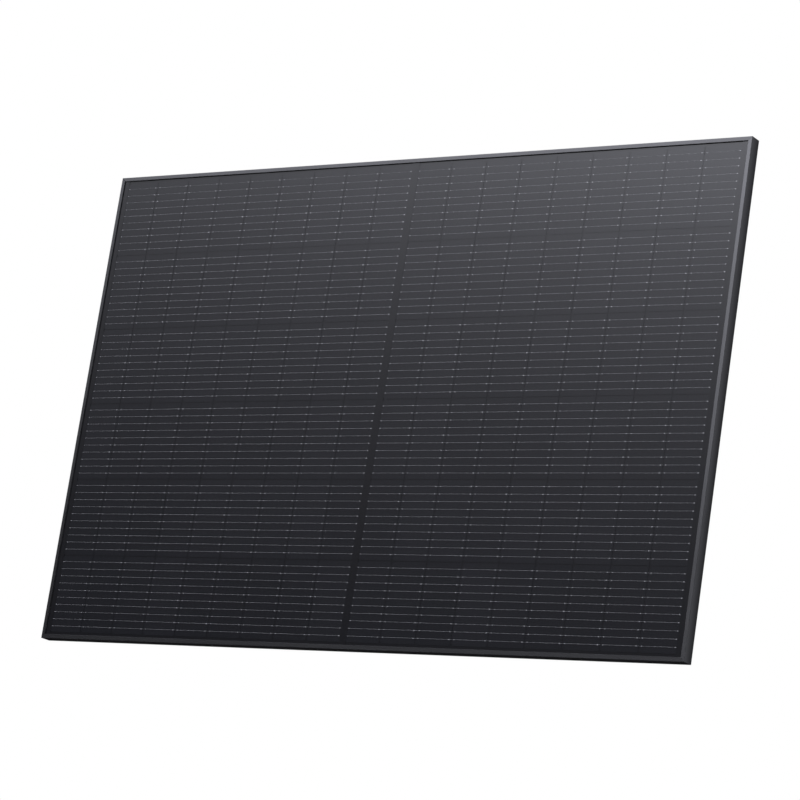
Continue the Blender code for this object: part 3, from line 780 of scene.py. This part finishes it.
def add_pierced_sheet(made, grid, across, upwards, is_hole):
    """Faces of a sheet between the two layers of vertices of a grid, with walls round its edge and holes."""

    def solid(i, j):
        if not (0 <= i < len(across) - 1 and 0 <= j < len(upwards) - 1):
            return False
        return not is_hole((across[i] + across[i + 1]) / 2, (upwards[j] + upwards[j + 1]) / 2)

    places = [(i, j) for i in range(len(across) - 1) for j in range(len(upwards) - 1) if solid(i, j)]
    for i, j in places:
        corners = ((i, j), (i + 1, j), (i + 1, j + 1), (i, j + 1))
        for layer in (0, 1):
            made.faces.new([grid[*corner, layer] for corner in corners])
        beside = ((i, j - 1), (i + 1, j), (i, j + 1), (i - 1, j))
        for neighbour, first, second in zip(beside, corners, corners[1:] + corners[:1]):
            if not solid(*neighbour):
                wall = (*first, 0), (*second, 0), (*second, 1), (*first, 1)
                made.faces.new([grid[place] for place in wall])


def build_backsheet():
    """Backsheet in which the cells and ribbons print through, with its lead holes."""
    (left, near, low), (right, far, high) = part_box("backsheet")
    columns, rows = cell_spans()
    ribbons = [name for name in nodes if name.startswith("end_ribbon")]
    strips, lengths = spans_of(ribbons, 0), spans_of(ribbons, 2)
    half_width, half_height = (side / 2 for side in LEAD_HOLE)
    holes = lead_holes()
    marks = [centre + side for centre in holes for side in (-half_height, half_height)]
    across = stations(left, right, columns + strips, (-half_width, half_width))
    upwards = stations(low, high, rows + lengths, marks)
    made = bmesh.new()
    grid = {}
    for i, x in enumerate(across):
        for j, z in enumerate(upwards):
            raised = max(rise(x, columns) * rise(z, rows), rise(x, strips) * rise(z, lengths))
            grid[i, j, 0] = made.verts.new((x, near, z))
            grid[i, j, 1] = made.verts.new((x, far + RELIEF * raised, z))

    def is_hole(x, z):
        return abs(x) <= half_width and any(abs(z - centre) <= half_height for centre in holes)

    add_pierced_sheet(made, grid, across, upwards, is_hole)
    make_piece("backsheet_relief", made, [pebbled_film()], ["backsheet"])


# ---------------------------------------------------------------- junction boxes

def rounded_outline(box_low, box_high, inset, radius):
    """Points (x, z) and outward directions round a rectangle with rounded corners."""
    points = []
    left, right = box_low[0] + inset + radius, box_high[0] - inset - radius
    low, high = box_low[2] + inset + radius, box_high[2] - inset - radius
    corners = ((right, high), (left, high), (left, low), (right, low))
    for quarter, (x, z) in enumerate(corners):
        for step in range(CORNER_STEPS + 1):
            angle = math.tau / len(corners) * (quarter + step / CORNER_STEPS)
            out = (math.cos(angle), math.sin(angle))
            points.append(((x + radius * out[0], z + radius * out[1]), out))
    return points


def divide_outline(outline, longest):
    """More points along the straight stretches of an outline."""
    points = []
    for here, after in zip(outline, outline[1:] + outline[:1]):
        gap = math.dist(here[0], after[0])
        count = max(1, math.ceil(gap / longest))
        for step in range(count):
            place = tuple(a + (b - a) * step / count for a, b in zip(here[0], after[0]))
            points.append((place, here[1] if step == 0 else after[1]))
    return points


def sweep(made, outline, sections):
    """Closed ring whose section, as (outward, y) points, follows an outline."""
    rings = []
    for ((x, z), (out_x, out_z)), section in zip(outline, sections):
        rings.append([(x + out_x * out, y, z + out_z * out) for out, y in section])
    skin(made, rings, cyclic=True)


def add_latch(made, outline, low, high):
    """Solid with an (x, y) outline from low to high, with its ends drawn in."""
    middle = sum((Vector(point) for point in outline), Vector((0.0, 0.0))) / len(outline)
    heights = (low, low + LATCH_CROWN, high - LATCH_CROWN, high)
    shares = (LATCH_END_SHARE, 1.0, 1.0, LATCH_END_SHARE)
    rings = []
    for z, share in zip(heights, shares):
        rings.append([(*middle.lerp(Vector(point), share), z) for point in outline])
    skin(made, rings)


def turned(made, base, axis, profile, hollow=False):
    """Turned shape from (along, radius, depth of flutes) stations on an axis from base."""
    axis = Vector(axis)
    side = axis.orthogonal().normalized()
    other = axis.cross(side)
    rings = []
    for along, radius, flute in profile:
        ring = []
        for step in range(TURNED_STEPS):
            angle = math.tau * step / TURNED_STEPS
            wave = (1.0 - math.cos(GLAND_FLUTES * angle)) / 2
            reach = radius - flute * wave ** FLUTE_SHARPNESS
            out = side * math.cos(angle) + other * math.sin(angle)
            ring.append(Vector(base) + axis * along + out * reach)
        rings.append(ring)
    skin(made, rings, cyclic=hollow)


def bead_section(out, floor, ceiling):
    """Section (outward, y) of the bead, which reaches out from a box's wall."""
    return [
        (-BEAD_INNER, floor),
        (out - BEAD_FOOT, floor),
        (out, floor + BEAD_FOOT),
        (out, ceiling - BEAD_SHOULDER),
        (out - BEAD_SHOULDER, ceiling),
        (-BEAD_INNER, ceiling),
    ]


def add_bead(word, sealant, draw):
    """Squeezed-out silicone under a junction box."""
    node = f"junction_box_adhesive_{word}"
    low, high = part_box(node)
    outline = divide_outline(rounded_outline(low, high, 0.0, BOX_CORNER), BEAD_STEP)
    phases = [draw.uniform(0.0, math.tau) for _ in BEAD_WAVE_COUNTS]
    sections = []
    for index in range(len(outline)):
        turn = math.tau * index / len(outline)
        waves = [math.sin(turn * count + phase) for count, phase in zip(BEAD_WAVE_COUNTS, phases)]
        out = BEAD_OUTER + BEAD_WAVE * sum(waves) / len(waves)
        sections.append(bead_section(out, low[1] - BEAD_SINK, high[1] + BEAD_SINK))
    made = bmesh.new()
    sweep(made, outline, sections)
    make_piece(f"box_bead_{word}", made, [sealant], [node], rounded=True)


def add_latches(made, wall, top, centre):
    """Two latches on each side of a lid."""
    for side in (-1, 1):
        outline = [(side * (wall + out), top + above) for out, above in LATCH_PROFILE]
        for place in LATCH_PLACES:
            start = centre + place - LATCH_WIDTH / 2
            add_latch(made, outline, start, start + LATCH_WIDTH)


def add_rib(made, middle, height, top):
    """Rounded bar across a lid."""
    low = (middle - RIB_LENGTH / 2, top, height - RIM_HALF_WIDTH)
    high = (middle + RIB_LENGTH / 2, top, height + RIM_HALF_WIDTH)
    outline = rounded_outline(low, high, 0.0, RIB_CORNER)
    rings = []
    for shrink, above in RIB_PROFILE:
        rings.append([(x - out[0] * shrink, top + above, z - out[1] * shrink) for (x, z), out in outline])
    skin(made, rings)


def add_box_details(word, plastic):
    """Latches at the box's sides, and the rim, ribs and vent of its lid."""
    low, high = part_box(f"junction_box_lid_{word}")
    top = high[1]
    centre = (low[2] + high[2]) / 2
    made = bmesh.new()
    add_latches(made, high[0], top, centre)
    section = [(RIM_HALF_WIDTH * share, top + above) for share, above in RIM_PROFILE]
    outline = rounded_outline(low, high, RIM_INSET, RIM_CORNER)
    sweep(made, outline, [section] * len(outline))
    for place in RIB_PLACES:
        add_rib(made, (low[0] + high[0]) / 2, centre + place, top)
    turned(made, (0.0, top, centre + VENT_PLACE), (0.0, 1.0, 0.0), VENT_PROFILE)
    make_piece(f"box_details_{word}", made, [plastic], rounded=True)


def add_gland(word, direction, plastic):
    """Gland with a fluted nut and an open bore."""
    node = f"cable_gland_{word}"
    low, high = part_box(node)
    length = high[2] - low[2]
    start = low[2] if direction > 0 else high[2]
    nose = [(length + along, radius, flute) for along, radius, flute in GLAND_NOSE]
    profile = [*GLAND_ROOT, *nose, *GLAND_BORE]
    made = bmesh.new()
    turned(made, (0.0, depth_to_y(GLAND_AXIS), start), (0.0, 0.0, direction), profile, hollow=True)
    make_piece(f"fluted_gland_{word}", made, [plastic], [node], rounded=True)


def smoothing_group():
    """Node group that shades every face smooth."""
    group = bpy.data.node_groups.new("smooth_shading", "GeometryNodeTree")
    for direction in ("INPUT", "OUTPUT"):
        group.interface.new_socket(name="Geometry", in_out=direction, socket_type="NodeSocketGeometry")
    start = group.nodes.new("NodeGroupInput")
    shade = group.nodes.new("GeometryNodeSetShadeSmooth")
    end = group.nodes.new("NodeGroupOutput")
    group.links.new(start.outputs[0], shade.inputs["Geometry"])
    group.links.new(shade.outputs["Geometry"], end.inputs[0])
    return group


def soften_edges(name, smoothing):
    """Small rounding on a CAD node's sharp edges, and smooth shading of its rounded corners."""
    modifiers = nodes[name].modifiers
    modifiers.new("weld", "WELD").merge_threshold = WELD_DISTANCE
    bevel = modifiers.new("rounding", "BEVEL")
    bevel.width = BOX_EDGE
    bevel.segments = EDGE_STEPS
    bevel.angle_limit = CREASE
    modifiers.new("smoothing", "NODES").node_group = smoothing
    modifiers.new("creases", "EDGE_SPLIT").split_angle = CREASE


def build_boxes(sealant):
    """Junction boxes with their beads, latches and glands."""
    housing = moulded("moulded_box", BOX_PLASTIC)
    fitting = moulded("moulded_gland", GLAND_PLASTIC)
    draw = random.Random(BEAD_SEED)
    smoothing = smoothing_group()
    for word in BOXES:
        shells = (f"junction_box_{word}", f"junction_box_lid_{word}")
        dress(housing, *shells)
        for shell in shells:
            soften_edges(shell, smoothing)
        add_bead(word, sealant, draw)
        add_box_details(word, housing)
    add_gland("top", 1, fitting)
    add_gland("bottom", -1, fitting)


def dress_inside():
    """Materials of the CAD pieces inside the boxes and the frame."""
    dress(moulded("cast_potting", POTTING), "potting")
    dress(moulded("diode_epoxy", EPOXY), "bypass_diode")
    dress(tinned("terminal_tin", TERMINAL_TONE, TERMINAL_ROUGHNESS), "terminal")
    dress(mill_aluminium(), "corner_key")


# ---------------------------------------------------------------- studio and camera

def add_lobe(tree, direction, lobe):
    """Soft round light in the surroundings, even inside its radius and halving per fall-off step."""
    towards, radius, halving, strength = lobe

    def maths(operation, first, second=0.0):
        made = tree.nodes.new("ShaderNodeMath")
        made.operation = operation
        for socket, source in zip(made.inputs, (first, second)):
            if isinstance(source, bpy.types.NodeSocket):
                tree.links.new(source, socket)
            else:
                socket.default_value = source
        return made.outputs[0]

    dot = tree.nodes.new("ShaderNodeVectorMath")
    dot.operation = "DOT_PRODUCT"
    tree.links.new(direction, dot.inputs[0])
    dot.inputs[1].default_value = Vector(towards).normalized()
    angle = maths("ARCCOSINE", dot.outputs["Value"])
    outside = maths("MAXIMUM", maths("SUBTRACT", angle, math.radians(radius)), 0.0)
    fading = maths("POWER", 0.5, maths("DIVIDE", outside, math.radians(halving)))
    return maths("MULTIPLY", fading, strength)


def build_surroundings():
    """Soft studio light all round, and plain white where the camera looks past the module."""
    world = bpy.data.worlds.new("studio")
    bpy.context.scene.world = world
    world.use_nodes = True
    tree = world.node_tree
    direction = tree.nodes.new("ShaderNodeTexCoord").outputs["Generated"]
    total = AMBIENT
    for lobe in LIGHTS.values():
        summed = tree.nodes.new("ShaderNodeMath")
        tree.links.new(add_lobe(tree, direction, lobe), summed.inputs[0])
        if isinstance(total, float):
            summed.inputs[1].default_value = total
        else:
            tree.links.new(total, summed.inputs[1])
        total = summed.outputs[0]
    light = tree.nodes["Background"]
    light.inputs["Color"].default_value = (*LIGHT_COLOUR, 1.0)
    tree.links.new(total, light.inputs["Strength"])
    white = tree.nodes.new("ShaderNodeBackground")
    white.inputs["Color"].default_value = (*WHITE, 1.0)
    seen = tree.nodes.new("ShaderNodeLightPath")
    choice = tree.nodes.new("ShaderNodeMixShader")
    tree.links.new(seen.outputs["Is Camera Ray"], choice.inputs[0])
    tree.links.new(light.outputs[0], choice.inputs[1])
    tree.links.new(white.outputs[0], choice.inputs[2])
    tree.links.new(choice.outputs[0], tree.nodes["World Output"].inputs["Surface"])
    bpy.context.scene.view_settings.view_transform = "Standard"


def build_floor():
    """Plain pale floor, far enough down to stay below the photograph's upward view."""
    made = bmesh.new()
    bmesh.ops.create_grid(made, x_segments=FLOOR_SQUARES, y_segments=FLOOR_SQUARES, size=FLOOR_SIZE / 2)
    mesh = bpy.data.meshes.new("floor")
    made.to_mesh(mesh)
    made.free()
    pale = Surface("pale_floor", FLOOR_TONES[0], FLOOR_ROUGHNESS)
    pale.mottle(pale.noise(FLOOR_CLOUD), FLOOR_TONES)
    mesh.materials.append(pale.material)
    floor = bpy.data.objects.new("floor", mesh)
    bpy.context.scene.collection.objects.link(floor)
    floor.location.z = FLOOR_HEIGHT
    floor.visible_glossy = False
    floor.visible_diffuse = False


def build_camera():
    """Camera below the module's middle and to its right, rolled as in the photograph."""
    data = bpy.data.cameras.new("camera")
    data.sensor_width = CAMERA_SENSOR
    data.lens = CAMERA_LENS
    level = math.cos(CAMERA_ELEVATION)
    forward = Vector(
        (
            -math.sin(CAMERA_AZIMUTH) * level,
            math.cos(CAMERA_AZIMUTH) * level,
            -math.sin(CAMERA_ELEVATION),
        )
    )
    upright = Vector((0.0, 0.0, 1.0))
    upright = (upright - forward * upright.dot(forward)).normalized()
    right = forward.cross(upright)
    up = upright * math.cos(CAMERA_ROLL) + right * math.sin(CAMERA_ROLL)
    right = forward.cross(up)
    camera = bpy.data.objects.new("camera", data)
    turn = Matrix((right, up, -forward)).transposed().to_4x4()
    camera.matrix_world = Matrix.Translation(CAMERA_PLACE) @ turn
    bpy.context.scene.collection.objects.link(camera)
    bpy.context.scene.camera = camera


build_camera()
build_surroundings()
build_floor()
black_silicone = silicone()
dress_front(black_silicone)
build_film()
build_strings()
build_backsheet()
build_boxes(black_silicone)
dress_inside()
